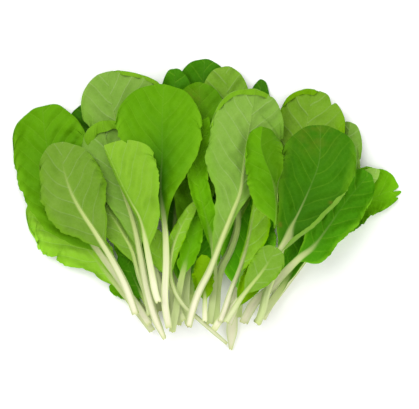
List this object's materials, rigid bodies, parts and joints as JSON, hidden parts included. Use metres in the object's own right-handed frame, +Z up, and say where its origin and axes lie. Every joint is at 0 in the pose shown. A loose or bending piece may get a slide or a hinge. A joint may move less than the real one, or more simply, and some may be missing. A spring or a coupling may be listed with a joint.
{
  "type": "bok choy bunch",
  "caption": "Bunch of young bok choy leaves lying flat, pale stalks gathered at their cut bases and green blades fanned out.",
  "frame": {"origin": "centre of the bunch's bounding box, on the surface that it lies on", "axes": "+X across the fan to the right, +Y from the cut bases to the leaf tips, +Z up"},
  "size_m": [0.2862, 0.2162, 0.0591],
  "materials": {
    "leaf_green": "satin leaf, upper side",
    "leaf_pale": "matt leaf, underside",
    "leaf_dark": "satin leaf, dark upper side",
    "leaf_young": "satin leaf, young and light"
  },
  "bodies": {
    "root": {"leaf_back_left": "leaf_dark", "leaf_back_right_tip": "leaf_dark", "leaf_back_top": "leaf_dark", "leaf_back_top_left": "leaf_dark", "leaflet_low_left": "leaf_green", "leaf_low_left": "leaf_young", "leaf_far_right": "leaf_green", "leaf_inner_left_short": "leaf_dark", "leaf_inner_centre_short": "leaf_dark", "leaf_inner_right_short": "leaf_dark", "leaf_right_pale_back": "leaf_pale", "leaf_right_pale_low": "leaf_pale", "leaf_right_inner": "leaf_dark", "leaf_top_pale": "leaf_pale", "leaf_top_centre": "leaf_green", "leaf_top_left_pale": "leaf_pale", "leaf_far_left": "leaf_green", "leaf_low_frill": "leaf_dark", "leaf_thin_stalk": "leaf_young", "leaf_inner_jagged": "leaf_green", "leaf_inner_rooted": "leaf_pale", "leaf_low_right": "leaf_dark", "leaf_top_right_pale": "leaf_pale", "leaf_inner_narrow": "leaf_green", "leaflet_centre": "leaf_young", "leaf_left_inner": "leaf_pale", "leaf_left_pale_inner": "leaf_pale", "leaf_centre_large": "leaf_green", "leaf_left_front": "leaf_pale", "leaf_centre_pale": "leaf_pale", "leaf_left_folded": "leaf_young", "leaf_right_large": "leaf_dark", "leaf_right_young": "leaf_young", "leaflet_right_frill": "leaf_young", "leaf_right_round": "leaf_pale", "leaf_right_front": "leaf_green"}
  },
  "joints": []
}
